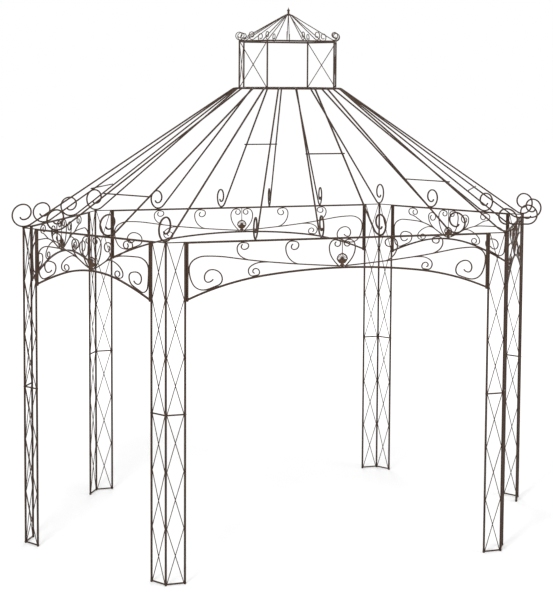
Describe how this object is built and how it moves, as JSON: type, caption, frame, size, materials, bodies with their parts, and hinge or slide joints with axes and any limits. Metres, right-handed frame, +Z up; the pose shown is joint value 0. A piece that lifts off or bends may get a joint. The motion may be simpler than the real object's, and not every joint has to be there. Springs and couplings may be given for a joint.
{
  "type": "iron garden pavilion",
  "caption": "Free-standing open garden pavilion of bent iron bar: lattice corner posts, scrolled friezes, rib roof and a small lantern.",
  "frame": {"origin": "on the ground, under the finial, at the middle of the plan", "axes": "+Z up; +X along the two long sides, through the two end posts; -Y out of the front long side"},
  "size_m": [3.7766, 2.3011, 3.558],
  "materials": {
    "post_iron": "satin",
    "frieze_iron": "satin",
    "scroll_iron": "satin",
    "roof_iron": "satin",
    "lantern_iron": "satin",
    "cast_ornament": "satin"
  },
  "bodies": {
    "root": {"back_frieze_frame": "frieze_iron", "back_lattice_back_left": "post_iron", "back_lattice_back_right": "post_iron", "back_left_corner_rod": "post_iron", "back_right_corner_rod": "post_iron", "back_roof_ribs": "roof_iron", "back_scrollwork": "scroll_iron", "corner_ribs": "roof_iron", "crown_ring": "lantern_iron", "finial": "cast_ornament", "front_frieze_frame": "frieze_iron", "front_lattice_front_left": "post_iron", "front_lattice_front_right": "post_iron", "front_left_corner_rod": "post_iron", "front_right_corner_rod": "post_iron", "front_roof_ribs": "roof_iron", "front_scrollwork": "scroll_iron", "lantern_braces": "lantern_iron", "lantern_eave_ring": "lantern_iron", "lantern_ribs": "lantern_iron", "lantern_rods": "lantern_iron", "left_back_frieze_frame": "frieze_iron", "left_back_lattice_back_left": "post_iron", "left_back_lattice_left": "post_iron", "left_back_roof_ribs": "roof_iron", "left_back_scrollwork": "scroll_iron", "left_corner_rod": "post_iron", "left_front_frieze_frame": "frieze_iron", "left_front_lattice_front_left": "post_iron", "left_front_lattice_left": "post_iron", "left_front_roof_ribs": "roof_iron", "left_front_scrollwork": "scroll_iron", "right_back_frieze_frame": "frieze_iron", "right_back_lattice_back_right": "post_iron", "right_back_lattice_right": "post_iron", "right_back_roof_ribs": "roof_iron", "right_back_scrollwork": "scroll_iron", "right_corner_rod": "post_iron", "right_front_frieze_frame": "frieze_iron", "right_front_lattice_front_right": "post_iron", "right_front_lattice_right": "post_iron", "right_front_roof_ribs": "roof_iron", "right_front_scrollwork": "scroll_iron", "roof_rungs": "roof_iron", "shell_ornaments": "cast_ornament"}
  },
  "joints": []
}
